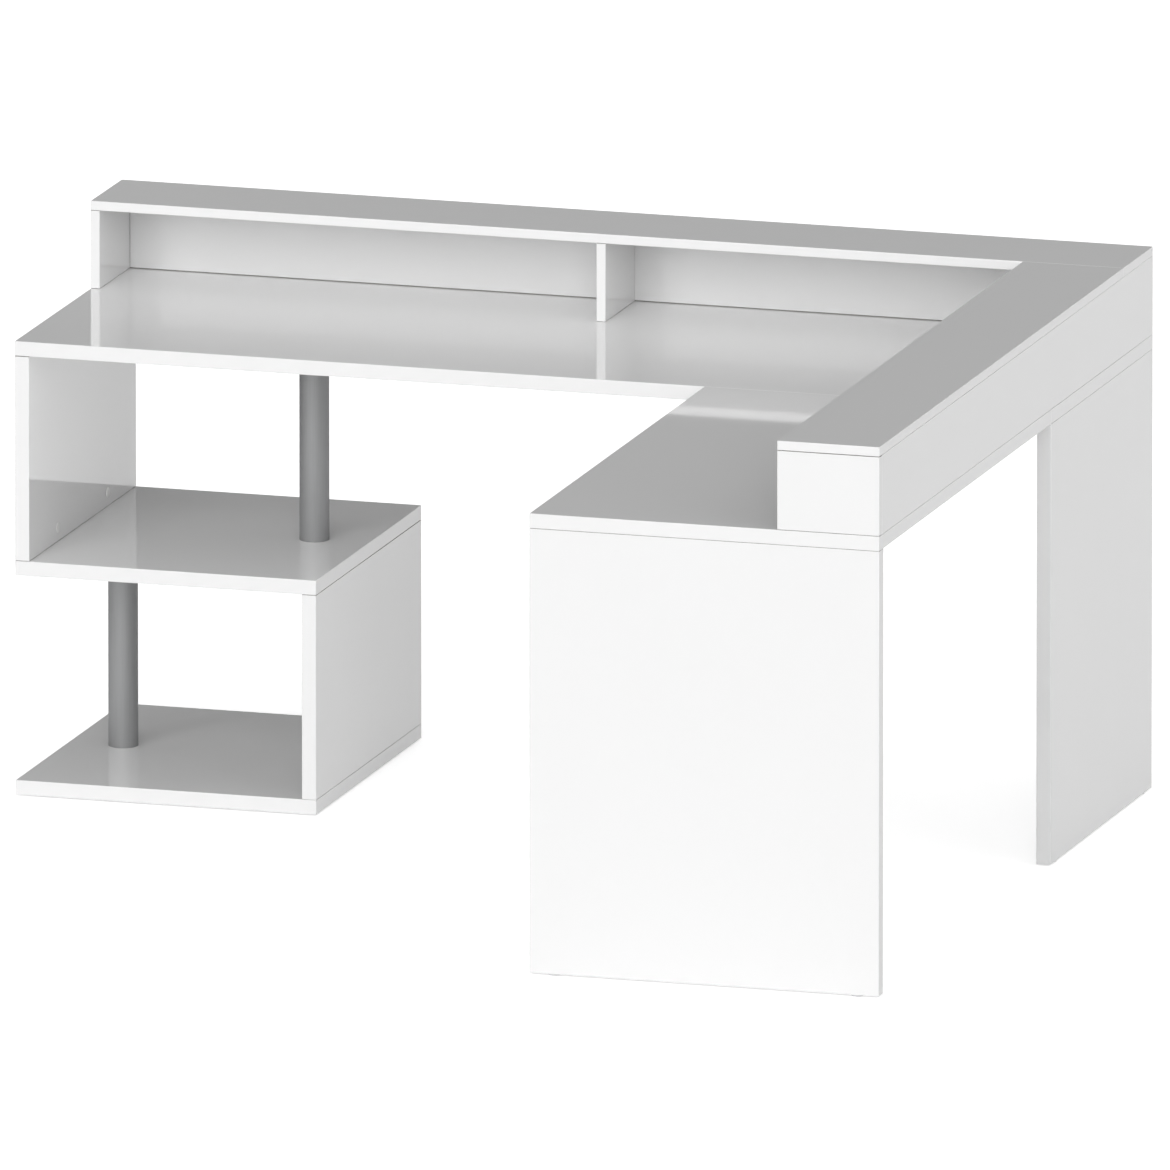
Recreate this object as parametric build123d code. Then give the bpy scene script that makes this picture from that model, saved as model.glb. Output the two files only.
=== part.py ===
from build123d import *
import os

# A corner desk of lacquered boards: an S-shaped shelf tower on the left, two worktops at a right
# angle, two leg panels, and a low riser along the wall and the right side.
# Millimetres. X runs along the wall, Y towards it, Z up. The origin is on the floor, at the
# middle of the desk's outline.

# Outline of the desk
WIDTH = 1800.0
DEPTH = 1600.0
MAIN_DEPTH = 600.0
RETURN_WIDTH = 600.0
BOARD = 25.0
EDGE_EASE = 0.8

# Shelf tower and its two posts
TOWER_WIDTH = 525.0
LOWER_BAY = 350.0
UPPER_BAY = 350.0
POST_DIAMETER = 50.0
POST_WALL = 1.5
POST_INSET = 95.0

# Riser on the worktops
RISER_DEPTH = 175.0
RISER_BAY = 134.0
RISER_BOARD = 16.0
DIVIDER_FROM_LEFT = 884.0
BACK_SHEET = 5.0
REBATE = 7.0
SHEET_CLEARANCE = 0.5

# Fits: play round a fastener, and the room left at the end of a blind hole
FIT = 0.15
END_ROOM = 0.8

# Flats that stand for the round of the many small fittings: slim pins, and wider discs and drums
PIN_SIDES = 8
DISC_SIDES = 12

# Wooden dowels: set in a board's face to a fixed depth, the rest stands in the other board's edge
DOWEL_DIAMETER = 8.0
DOWEL_LENGTH = 30.0
DOWEL_IN_FACE = 9.0
DOWEL_INSET = 50.0
RISER_DOWEL_INSET = 35.0

# Cam fittings: a bolt screwed in a board's face, held by a turning drum set in the other board
CAM_DIAMETER = 15.0
CAM_FROM_EDGE = 24.0
CAM_BELOW_BOLT = 5.0
CAM_RIM = 0.4
CAM_INSET = 160.0
CAM_BOLT_GRIP = 9.0
CAM_BOLT_SHANK = 6.0
CAM_BOLT_NECK = 3.6
CAM_BOLT_HEAD = 6.6
CAM_BOLT_HEAD_LENGTH = 4.0
CAM_BOLT_PLAY = 0.6
CAP_DIAMETER = 18.0
CAP_THICKNESS = 1.2

# Plates under the seam of the two worktops
SEAM_DOWELS = 3
PLATE_COUNT = 2
PLATE_LENGTH = 140.0
PLATE_WIDTH = 40.0
PLATE_THICKNESS = 2.5
PLATE_CORNER = 8.0
PLATE_INSET = 120.0
PLATE_SCREW_NEAR = 20.0
PLATE_SCREW_FAR = 55.0
PLATE_SCREW_DIAMETER = 4.0
PLATE_SCREW_GRIP = 14.0
PLATE_SCREW_HEAD = 8.0
PLATE_SCREW_HEAD_HEIGHT = 2.4

# Post ends: moulded plugs, a bolt from below at the foot and a stud in a threaded insert at the head
PLUG_LENGTH = 22.0
PLUG_WALL = 3.0
PLUG_FLOOR = 6.0
POST_BOLT_DIAMETER = 8.0
POST_BOLT_HEAD = 14.0
POST_BOLT_HEAD_HEIGHT = 5.3
HEAD_RECESS = 1.5
COUNTERBORE = 18.0
INSERT_DIAMETER = 12.0
INSERT_LENGTH = 13.0

# Glides under everything that stands on the floor
GLIDE_HEIGHT = 3.0
GLIDE_DIAMETER = 22.0
GLIDE_CHAMFER = 1.0
GLIDE_INSET = 40.0

# Planes that the boards share
LEFT = -WIDTH / 2
RIGHT = WIDTH / 2
FRONT = -DEPTH / 2
BACK = DEPTH / 2
MAIN_FRONT = BACK - MAIN_DEPTH
RETURN_LEFT = RIGHT - RETURN_WIDTH
TOWER_RIGHT = LEFT + TOWER_WIDTH
RISER_FRONT = BACK - RISER_DEPTH
RISER_LEFT = RIGHT - RISER_DEPTH
DIVIDER_LEFT = LEFT + DIVIDER_FROM_LEFT
BASE_BOTTOM = GLIDE_HEIGHT
BASE_TOP = BASE_BOTTOM + BOARD
SHELF_BOTTOM = BASE_TOP + LOWER_BAY
SHELF_TOP = SHELF_BOTTOM + BOARD
WORKTOP_BOTTOM = SHELF_TOP + UPPER_BAY
WORKTOP_TOP = WORKTOP_BOTTOM + BOARD
RISER_UNDERSIDE = WORKTOP_TOP + RISER_BAY
RISER_TOP = RISER_UNDERSIDE + RISER_BOARD
TOWER_MIDDLE_Y = BACK - MAIN_DEPTH / 2

EAST = Vector(1, 0, 0)
NORTH = Vector(0, 1, 0)
UP = Vector(0, 0, 1)

boards = {}
cutters = {}
fittings = {}


def block(x_span, y_span, z_span):
    """A plain block that fills the three spans."""
    spans = (x_span, y_span, z_span)
    middle = [(low + high) / 2 for low, high in spans]
    size = [high - low for low, high in spans]
    return Pos(*middle) * Box(*size)


def add_board(name, x_span, y_span, z_span):
    """A lacquered board with its edges eased."""
    solid = block(x_span, y_span, z_span)
    boards[name] = chamfer(solid.edges(), EDGE_EASE)
    cutters[name] = []


def add_fitting(name, solid):
    fittings.setdefault(name, []).append(solid)


def bore(diameter, depth):
    """A true round that starts on its plane and runs along the plane's normal."""
    return Cylinder(diameter / 2, depth, align=(Align.CENTER, Align.CENTER, Align.MIN))


def pin(diameter, depth):
    """A slim fastener, or the cutter of its hole, along the plane's normal."""
    return extrude(RegularPolygon(diameter / 2, PIN_SIDES), depth)


def disc(diameter, depth):
    """A wider drum, cap, pad or plug, or the cutter of its seat, along the plane's normal."""
    return extrude(RegularPolygon(diameter / 2, DISC_SIDES), depth)


def spread(start, end, inset, count):
    """Places from inset after start to inset before end, evenly spaced."""
    first = start + inset
    step = (end - inset - first) / (count - 1)
    return [first + step * index for index in range(count)]


# Wooden dowels

def dowel(group, edge_board, face_board, point, into_edge, face_depth=DOWEL_IN_FACE):
    """A dowel across a joint: it bottoms in the face board and stands in the edge board."""
    edge_side = Plane(origin=point, z_dir=into_edge)
    face_end = edge_side * Pos(0, 0, -face_depth)
    hole = DOWEL_DIAMETER + 2 * FIT
    edge_depth = DOWEL_LENGTH - face_depth + END_ROOM
    cutters[edge_board].append(edge_side * pin(hole, edge_depth))
    cutters[face_board].append(face_end * pin(hole, face_depth))
    add_fitting(group + "_dowels", face_end * pin(DOWEL_DIAMETER, DOWEL_LENGTH))


# Cam fittings

def cam_bolt():
    """The bolt about Z: its thread below the joint plane, then the shank, the neck and the head."""
    shank_end = CAM_FROM_EDGE - CAM_DIAMETER / 2 - CAM_BOLT_PLAY
    head_start = CAM_FROM_EDGE - CAM_BOLT_HEAD_LENGTH / 2
    shank = Pos(0, 0, -CAM_BOLT_GRIP) * pin(CAM_BOLT_SHANK, CAM_BOLT_GRIP + shank_end)
    neck = Pos(0, 0, shank_end) * pin(CAM_BOLT_NECK, head_start - shank_end)
    head = Pos(0, 0, head_start) * pin(CAM_BOLT_HEAD, CAM_BOLT_HEAD_LENGTH)
    return shank + neck + head


def cam_lock(bolt_depth):
    """The drum about Z, from the board's face inwards, on a bolt that comes in along X.

    The head drops in at the mouth on the Y side. Turning the drum a quarter brings the slot in
    its rim round the neck, and the hollow behind the rim holds the head.
    """
    radius = CAM_DIAMETER / 2
    head = CAM_BOLT_HEAD / 2 + CAM_BOLT_PLAY
    neck = CAM_BOLT_NECK / 2 + CAM_BOLT_PLAY
    hollow = radius / 2 ** 0.5 - CAM_RIM
    around_head = (bolt_depth - head, bolt_depth + head)
    around_neck = (bolt_depth - neck, bolt_depth + neck)
    drum = disc(CAM_DIAMETER, bolt_depth + CAM_BELOW_BOLT)
    drum -= block((-head, hollow), (-head, hollow), around_head)
    drum -= block((-neck, CAM_DIAMETER), (-neck, CAM_DIAMETER), around_neck)
    drum -= block((-head, head), (0, CAM_DIAMETER), around_head)
    return drum


def cam(group, edge_board, face_board, point, into_edge, towards_face, thickness):
    """A cam joint: bolt in the face board, drum and cap in the face of the edge board."""
    joint = Plane(origin=point, x_dir=towards_face, z_dir=into_edge)
    on_face = point + into_edge * CAM_FROM_EDGE + towards_face * (thickness / 2)
    drum_in = Plane(origin=on_face, x_dir=-into_edge, z_dir=-towards_face)
    cap_out = Plane(origin=on_face, x_dir=into_edge, z_dir=towards_face)
    bolt_depth = thickness / 2
    drum_hole = disc(CAM_DIAMETER + 2 * FIT, bolt_depth + CAM_BELOW_BOLT)
    shank_hole = pin(CAM_BOLT_SHANK + 2 * CAM_BOLT_PLAY, CAM_FROM_EDGE)
    thread_hole = pin(CAM_BOLT_SHANK + 2 * FIT, CAM_BOLT_GRIP)
    cutters[edge_board] += [drum_in * drum_hole, joint * shank_hole]
    cutters[face_board].append(joint * Pos(0, 0, -CAM_BOLT_GRIP) * thread_hole)
    add_fitting(group + "_cam_locks", drum_in * cam_lock(bolt_depth))
    add_fitting(group + "_cam_bolts", joint * cam_bolt())
    add_fitting(group + "_cam_caps", cap_out * disc(CAP_DIAMETER, CAP_THICKNESS))


def upright_joint(upright, flat, x_middle, z_joint, into_upright, towards_face):
    """The tower's and corner leg's joint with a flat board: two dowels outside two cams."""
    for y in spread(MAIN_FRONT, BACK, DOWEL_INSET, 2):
        dowel("desk", upright, flat, Vector(x_middle, y, z_joint), into_upright)
    for y in spread(MAIN_FRONT, BACK, CAM_INSET, 2):
        point = Vector(x_middle, y, z_joint)
        cam("desk", upright, flat, point, into_upright, towards_face, BOARD)


# Worktops and legs

def make_worktops():
    level = (WORKTOP_BOTTOM, WORKTOP_TOP)
    add_board("main_worktop", (LEFT, RIGHT), (MAIN_FRONT, BACK), level)
    add_board("return_worktop", (RETURN_LEFT, RIGHT), (FRONT, MAIN_FRONT), level)
    for x in spread(RETURN_LEFT, RIGHT, DOWEL_INSET, SEAM_DOWELS):
        point = Vector(x, MAIN_FRONT, WORKTOP_TOP - BOARD / 2)
        dowel("desk", "return_worktop", "main_worktop", point, -NORTH, DOWEL_LENGTH / 2)
    for x in spread(RETURN_LEFT, RIGHT, PLATE_INSET, PLATE_COUNT):
        make_joining_plate(x)


def plate_screw():
    """A pan-head screw about Z, with its head below the plate."""
    head = Pos(0, 0, -PLATE_SCREW_HEAD_HEIGHT) * pin(PLATE_SCREW_HEAD, PLATE_SCREW_HEAD_HEIGHT)
    return head + pin(PLATE_SCREW_DIAMETER, PLATE_THICKNESS + PLATE_SCREW_GRIP)


def make_joining_plate(x):
    """A flat steel plate across the seam, screwed to the underside of both worktops."""
    bottom = WORKTOP_BOTTOM - PLATE_THICKNESS
    outline = RectangleRounded(PLATE_WIDTH, PLATE_LENGTH, PLATE_CORNER)
    plate = Pos(x, MAIN_FRONT, bottom) * extrude(outline, PLATE_THICKNESS)
    hole = PLATE_SCREW_DIAMETER + 2 * FIT
    for distance in (PLATE_SCREW_NEAR, PLATE_SCREW_FAR):
        sides = {"main_worktop": MAIN_FRONT + distance, "return_worktop": MAIN_FRONT - distance}
        for board, y in sides.items():
            place = Pos(x, y, bottom)
            plate -= place * pin(hole, PLATE_THICKNESS)
            cutters[board].append(place * pin(hole, PLATE_THICKNESS + PLATE_SCREW_GRIP + END_ROOM))
            add_fitting("joining_plate_screws", place * plate_screw())
    add_fitting("joining_plates", plate)


def make_legs():
    height = (BASE_BOTTOM, WORKTOP_BOTTOM)
    add_board("corner_leg_panel", (RIGHT - BOARD, RIGHT), (MAIN_FRONT, BACK), height)
    middle_x = RIGHT - BOARD / 2
    upright_joint("corner_leg_panel", "main_worktop", middle_x, WORKTOP_BOTTOM, -UP, -EAST)
    for y in spread(MAIN_FRONT, BACK, GLIDE_INSET, 2):
        add_glide("corner_leg", middle_x, y)

    add_board("return_leg_panel", (RETURN_LEFT, RIGHT), (FRONT, FRONT + BOARD), height)
    middle_y = FRONT + BOARD / 2
    for x in spread(RETURN_LEFT, RIGHT, DOWEL_INSET, 2):
        point = Vector(x, middle_y, WORKTOP_BOTTOM)
        dowel("desk", "return_leg_panel", "return_worktop", point, -UP)
    for x in spread(RETURN_LEFT, RIGHT, CAM_INSET, 2):
        point = Vector(x, middle_y, WORKTOP_BOTTOM)
        cam("desk", "return_leg_panel", "return_worktop", point, -UP, NORTH, BOARD)
    for x in spread(RETURN_LEFT, RIGHT, GLIDE_INSET, 2):
        add_glide("return_leg", x, middle_y)


# Shelf tower

def make_tower():
    width = (LEFT, TOWER_RIGHT)
    depth = (MAIN_FRONT, BACK)
    add_board("tower_base", width, depth, (BASE_BOTTOM, BASE_TOP))
    add_board("tower_lower_side", (TOWER_RIGHT - BOARD, TOWER_RIGHT), depth, (BASE_TOP, SHELF_BOTTOM))
    add_board("tower_middle_shelf", width, depth, (SHELF_BOTTOM, SHELF_TOP))
    add_board("tower_upper_side", (LEFT, LEFT + BOARD), depth, (SHELF_TOP, WORKTOP_BOTTOM))

    lower_x = TOWER_RIGHT - BOARD / 2
    upright_joint("tower_lower_side", "tower_base", lower_x, BASE_TOP, UP, -EAST)
    upright_joint("tower_lower_side", "tower_middle_shelf", lower_x, SHELF_BOTTOM, -UP, -EAST)
    upper_x = LEFT + BOARD / 2
    upright_joint("tower_upper_side", "tower_middle_shelf", upper_x, SHELF_TOP, UP, EAST)
    upright_joint("tower_upper_side", "main_worktop", upper_x, WORKTOP_BOTTOM, -UP, EAST)

    left_post = LEFT + POST_INSET
    right_post = TOWER_RIGHT - POST_INSET
    make_post("lower_post_tube", left_post, BASE_TOP, SHELF_BOTTOM, "tower_base", "tower_middle_shelf")
    make_post("upper_post_tube", right_post, SHELF_TOP, WORKTOP_BOTTOM, "tower_middle_shelf", "main_worktop")

    for x in spread(LEFT, TOWER_RIGHT, GLIDE_INSET, 2):
        for y in spread(MAIN_FRONT, BACK, GLIDE_INSET, 2):
            add_glide("tower", x, y)


def end_plug():
    """A moulded cup about Z that closes a tube end, with its floor bored for the fastener."""
    outer = POST_DIAMETER - 2 * POST_WALL - 2 * FIT
    hollow = Pos(0, 0, PLUG_FLOOR) * disc(outer - 2 * PLUG_WALL, PLUG_LENGTH - PLUG_FLOOR)
    return disc(outer, PLUG_LENGTH) - hollow - pin(POST_BOLT_DIAMETER + 2 * FIT, PLUG_FLOOR)


def make_post(name, x, z_low, z_high, board_below, board_above):
    """A tube between two boards, bolted from below and hung on a stud above."""
    foot = Pos(x, TOWER_MIDDLE_Y, z_low)
    head = Pos(x, TOWER_MIDDLE_Y, z_high)
    underside = Pos(x, TOWER_MIDDLE_Y, z_low - BOARD)
    length = z_high - z_low
    tube = bore(POST_DIAMETER, length) - bore(POST_DIAMETER - 2 * POST_WALL, length)
    boards[name] = foot * tube
    cutters[name] = []
    add_fitting("post_end_plugs", foot * end_plug())
    add_fitting("post_end_plugs", head * Rot(180, 0, 0) * end_plug())

    thread_hole = POST_BOLT_DIAMETER + 2 * FIT
    recess = HEAD_RECESS + POST_BOLT_HEAD_HEIGHT
    cutters[board_below] += [underside * disc(COUNTERBORE, recess), underside * pin(thread_hole, BOARD)]
    hexagon = extrude(RegularPolygon(POST_BOLT_HEAD / 2, 6), POST_BOLT_HEAD_HEIGHT)
    bolt = hexagon + pin(POST_BOLT_DIAMETER, BOARD - HEAD_RECESS + PLUG_FLOOR)
    add_fitting("post_bolts", underside * Pos(0, 0, HEAD_RECESS) * bolt)

    cutters[board_above].append(head * pin(INSERT_DIAMETER + 2 * FIT, INSERT_LENGTH + END_ROOM))
    insert = pin(INSERT_DIAMETER, INSERT_LENGTH) - pin(thread_hole, INSERT_LENGTH)
    add_fitting("post_inserts", head * insert)
    stud = Pos(0, 0, -PLUG_FLOOR) * pin(POST_BOLT_DIAMETER, PLUG_FLOOR + INSERT_LENGTH)
    add_fitting("post_studs", head * stud)


# Glides

def add_glide(group, x, y):
    """A round pad under a board, chamfered where it meets the floor."""
    pad = disc(GLIDE_DIAMETER, GLIDE_HEIGHT)
    pad = chamfer(pad.edges().group_by(Axis.Z)[0], GLIDE_CHAMFER)
    add_fitting(group + "_glides", Pos(x, y, 0) * pad)


# Riser

def make_riser():
    standing = (WORKTOP_TOP, RISER_UNDERSIDE)
    capping = (RISER_UNDERSIDE, RISER_TOP)
    sheet_front = BACK - BACK_SHEET
    run_front = FRONT + RISER_BOARD
    add_board("riser_main_top", (LEFT, RIGHT), (RISER_FRONT, BACK), capping)
    add_board("riser_return_top", (RISER_LEFT, RIGHT), (FRONT, RISER_FRONT), capping)
    add_board("riser_left_end", (LEFT, LEFT + RISER_BOARD), (RISER_FRONT, BACK), standing)
    divider_span = (DIVIDER_LEFT, DIVIDER_LEFT + RISER_BOARD)
    add_board("riser_divider", divider_span, (RISER_FRONT, sheet_front), standing)
    add_board("riser_front_end", (RISER_LEFT, RIGHT), (FRONT, run_front), standing)
    add_board("riser_outer_side", (RIGHT - RISER_BOARD, RIGHT), (run_front, BACK), standing)

    make_back_sheet(sheet_front)
    join_left_end()
    join_divider(sheet_front)
    join_front_end(run_front)
    join_outer_side(run_front)
    for x in spread(RISER_LEFT, RIGHT, RISER_DOWEL_INSET, 2):
        point = Vector(x, RISER_FRONT, RISER_TOP - RISER_BOARD / 2)
        dowel("riser", "riser_return_top", "riser_main_top", point, -NORTH, DOWEL_LENGTH / 2)


def make_back_sheet(sheet_front):
    """The thin sheet lies in rebates along the ends and the top, and stands on the worktop."""
    rebate_left = LEFT + RISER_BOARD - REBATE
    rebate_right = RIGHT - RISER_BOARD + REBATE
    rebate_top = RISER_UNDERSIDE + REBATE
    thickness = (sheet_front, BACK)
    height = (WORKTOP_TOP, RISER_UNDERSIDE)
    cutters["riser_left_end"].append(block((rebate_left, LEFT + RISER_BOARD), thickness, height))
    cutters["riser_outer_side"].append(block((RIGHT - RISER_BOARD, rebate_right), thickness, height))
    top_rebate = block((rebate_left, rebate_right), thickness, (RISER_UNDERSIDE, rebate_top))
    cutters["riser_main_top"].append(top_rebate)
    sheet_width = (rebate_left + SHEET_CLEARANCE, rebate_right - SHEET_CLEARANCE)
    boards["riser_back_sheet"] = block(sheet_width, thickness, (WORKTOP_TOP, rebate_top - SHEET_CLEARANCE))
    cutters["riser_back_sheet"] = []


def dowel_row(upright, flat, z_joint, into_upright, places):
    """Dowels between a riser upright and a flat board, at the given (x, y) places."""
    for x, y in places:
        dowel("riser", upright, flat, Vector(x, y, z_joint), into_upright)


def cam_row(upright, flat, z_joint, into_upright, towards_face, places):
    """Cams between a riser upright and a flat board, at the given (x, y) places."""
    for x, y in places:
        point = Vector(x, y, z_joint)
        cam("riser", upright, flat, point, into_upright, towards_face, RISER_BOARD)


def join_left_end():
    x = LEFT + RISER_BOARD / 2
    places = [(x, y) for y in spread(RISER_FRONT, BACK, RISER_DOWEL_INSET, 2)]
    dowel_row("riser_left_end", "main_worktop", WORKTOP_TOP, UP, places)
    dowel_row("riser_left_end", "riser_main_top", RISER_UNDERSIDE, -UP, places)


def join_divider(sheet_front):
    x = DIVIDER_LEFT + RISER_BOARD / 2
    places = [(x, y) for y in spread(RISER_FRONT, sheet_front, RISER_DOWEL_INSET, 2)]
    dowel_row("riser_divider", "main_worktop", WORKTOP_TOP, UP, places)
    dowel_row("riser_divider", "riser_main_top", RISER_UNDERSIDE, -UP, places)


def join_front_end(run_front):
    y = FRONT + RISER_BOARD / 2
    places = [(x, y) for x in spread(RISER_LEFT, RIGHT, RISER_DOWEL_INSET, 2)]
    dowel_row("riser_front_end", "return_worktop", WORKTOP_TOP, UP, places)
    dowel_row("riser_front_end", "riser_return_top", RISER_UNDERSIDE, -UP, places)
    middle_z = (WORKTOP_TOP + RISER_UNDERSIDE) / 2
    point = Vector(RIGHT - RISER_BOARD / 2, run_front, middle_z)
    dowel("riser", "riser_outer_side", "riser_front_end", point, NORTH)


def join_outer_side(run_front):
    """The long side has dowels and cams along both worktops below and along both tops above."""
    x = RIGHT - RISER_BOARD / 2
    runs = (
        ("return_worktop", WORKTOP_TOP, UP, run_front, MAIN_FRONT),
        ("main_worktop", WORKTOP_TOP, UP, MAIN_FRONT, BACK),
        ("riser_return_top", RISER_UNDERSIDE, -UP, run_front, RISER_FRONT),
    )
    for flat, z_joint, into_side, start, end in runs:
        dowels = [(x, y) for y in spread(start, end, DOWEL_INSET, 2)]
        cams = [(x, y) for y in spread(start, end, CAM_INSET, 2)]
        dowel_row("riser_outer_side", flat, z_joint, into_side, dowels)
        cam_row("riser_outer_side", flat, z_joint, into_side, -EAST, cams)
    corner = [(x, (RISER_FRONT + BACK) / 2)]
    dowel_row("riser_outer_side", "riser_main_top", RISER_UNDERSIDE, -UP, corner)


def write_parts():
    os.makedirs("parts", exist_ok=True)
    for name, board in boards.items():
        finished = board - cutters[name] if cutters[name] else board
        export_step(finished, f"parts/{name}.step")
    for name, solids in fittings.items():
        export_step(Compound(children=solids), f"parts/{name}.step")


make_worktops()
make_legs()
make_tower()
make_riser()
write_parts()
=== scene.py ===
import math
from collections import namedtuple

import bmesh
import bpy
from bpy.props import FloatProperty, FloatVectorProperty, IntProperty, PointerProperty
from mathutils import Matrix, Quaternion, Vector


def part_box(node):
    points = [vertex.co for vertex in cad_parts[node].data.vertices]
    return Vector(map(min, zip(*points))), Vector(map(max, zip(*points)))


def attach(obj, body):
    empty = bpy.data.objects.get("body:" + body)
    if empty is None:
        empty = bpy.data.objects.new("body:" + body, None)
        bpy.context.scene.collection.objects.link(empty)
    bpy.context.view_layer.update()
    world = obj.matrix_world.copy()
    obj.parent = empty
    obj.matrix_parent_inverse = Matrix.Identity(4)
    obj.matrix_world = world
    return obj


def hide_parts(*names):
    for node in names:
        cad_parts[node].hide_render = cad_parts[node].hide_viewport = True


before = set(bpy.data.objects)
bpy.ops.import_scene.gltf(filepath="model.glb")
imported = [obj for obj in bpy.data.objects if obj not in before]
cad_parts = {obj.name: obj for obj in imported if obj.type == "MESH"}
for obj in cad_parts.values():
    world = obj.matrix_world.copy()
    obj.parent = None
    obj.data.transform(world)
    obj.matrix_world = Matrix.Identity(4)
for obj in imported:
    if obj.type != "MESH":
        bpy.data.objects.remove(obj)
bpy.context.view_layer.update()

bl_info = {
    "name": "Corner desk",
    "version": (1, 0, 0),
    "blender": (4, 5, 0),
    "location": "3D View > Sidebar > Corner Desk",
    "description": "Dresses the corner desk in gloss lacquer and satin metal, with its fittings and stage",
    "category": "Object",
}

UP = Vector((0.0, 0.0, 1.0))
MM = 0.001

WORKTOPS = ("main_worktop", "return_worktop")
TOWER_BOARDS = ("tower_base", "tower_lower_side", "tower_middle_shelf", "tower_upper_side")
LEG_PANELS = ("corner_leg_panel", "return_leg_panel")
RISER_BOARDS = (
    "riser_main_top", "riser_return_top",
    "riser_left_end", "riser_divider", "riser_front_end", "riser_outer_side",
)
BACK_SHEET = "riser_back_sheet"
POSTS = ("lower_post_tube", "upper_post_tube")
CAM_GROUPS = ("desk", "riser")
DOWELS = ("desk_dowels", "riser_dowels")
GLIDES = ("tower_glides", "corner_leg_glides", "return_leg_glides")

# Tops whose back edge butts against a neighbour in the same plane
BUTTED = ("return_worktop", "riser_return_top")

# Upright boards with a hairline: its height as a share of the seam's, and the ends that show it
SEAMS = {
    "tower_lower_side": (1.0, "foot", "head"), "tower_upper_side": (1.5, "foot", "head"),
    "return_leg_panel": (0.7, "head"), "riser_left_end": (1.0, "foot", "head"),
    "riser_divider": (1.0, "foot", "head"), "riser_front_end": (1.5, "foot", "head"),
}
SHEET_SEAM = 1.5 * MM
SHEET_PLAY = 0.5 * MM

# Sizes of bought fittings that the boxes of their solids don't tell
DOWEL_RADIUS = 3.95 * MM
DOWEL_BORE = 4.0 * MM
CAM_RADIUS = 7.5 * MM
CAM_BOLT_RADIUS = 3.0 * MM
CAM_BOLT_GRIP = 9.0 * MM
CAM_BOLT_CLEAR = 3.6 * MM
CAM_BOLT_REACH = 24.0 * MM
POST_THREAD = 4.0 * MM
POST_PITCH = 1.25 * MM
POST_BORE = 4.15 * MM
PLUG_RADIUS = 23.3 * MM
BOLT_HEAD_BORE = 9.0 * MM
BOLT_HEAD_SUNK = 1.5 * MM
BOLT_SEAT = 6.8 * MM
BOLT_THROUGH = 26.0 * MM
INSERT_RADIUS = 6.0 * MM
PLATE_SCREW_RADIUS = 2.0 * MM
PLATE_HOLE = 2.15 * MM
PLATE_HOLES_ALONG = (-55.0 * MM, -20.0 * MM, 20.0 * MM, 55.0 * MM)

# Room at the end of a blind bore, how far a cutter runs past a face, and what keeps one off a face
END_ROOM = 0.8 * MM
PAST = 1.0 * MM
OFF_FACE = 0.05 * MM

# Flats round turned shapes
SCREW_SIDES = 24
INSERT_SIDES = 32
ROUND_SIDES = 40
PLUG_SIDES = 64

# Edges sharper than these stay sharp in smooth shading
SHARP_EDGE = math.radians(32.0)
SHARP_LIP = math.radians(50.0)

# Distance below which two places count as the same
SAME = 1e-6

# The white backdrop in the sky ends at this sine of the elevation, after fading over the second value
BACKDROP_TOP = 0.16
BACKDROP_FADE = 0.1
FLOOR_REACH = 60.0
FLOOR_WHITE = (0.9, 0.9, 0.9, 1.0)


def node_size(node):
    low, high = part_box(node)
    return high - low


# Settings that a user would change

class LacquerSettings(bpy.types.PropertyGroup):
    """Gloss lacquer and edges of the boards"""

    tone: FloatVectorProperty(
        name="Lacquer tone", description="Colour of the lacquer", subtype="COLOR", size=4,
        min=0.0, max=1.0, default=(0.845, 0.845, 0.845, 1.0))
    # Partly a duller sheet, partly painted shade: the tone is darkened for the shade that falls inside the
    # riser
    sheet_tone_with_painted_shade: FloatVectorProperty(
        name="Sheet tone", description="Colour of the thin back sheet, a little duller than the boards",
        subtype="COLOR", size=4, min=0.0, max=1.0, default=(0.74, 0.74, 0.74, 1.0))
    gloss: FloatProperty(
        name="Gloss roughness", description="Roughness of the polished lacquer",
        subtype="FACTOR", min=0.0, max=1.0, default=0.035)
    haze: FloatProperty(
        name="Wiping haze", description="Roughness that faint wiping marks add", subtype="FACTOR",
        min=0.0, max=1.0, default=0.03)
    peel: FloatProperty(
        name="Orange peel", description="Height of the ripple left by spraying",
        subtype="DISTANCE", unit="LENGTH", min=0.0, default=0.004 * MM)
    arris: FloatProperty(
        name="Arris", description="Radius of a board's rounded edges",
        subtype="DISTANCE", unit="LENGTH", min=0.0, default=1.0 * MM)
    seam: FloatProperty(
        name="Seam", description="Height of the hairline where a board's end meets another board",
        subtype="DISTANCE", unit="LENGTH", min=0.0, default=0.6 * MM)
    seam_depth: FloatProperty(
        name="Seam depth", description="Depth of that hairline",
        subtype="DISTANCE", unit="LENGTH", min=0.0, default=3.0 * MM)
    butt: FloatProperty(
        name="Butted arris", description="Share of that radius left where two tops butt in one plane",
        subtype="FACTOR", min=0.0, max=1.0, default=0.3)


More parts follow.
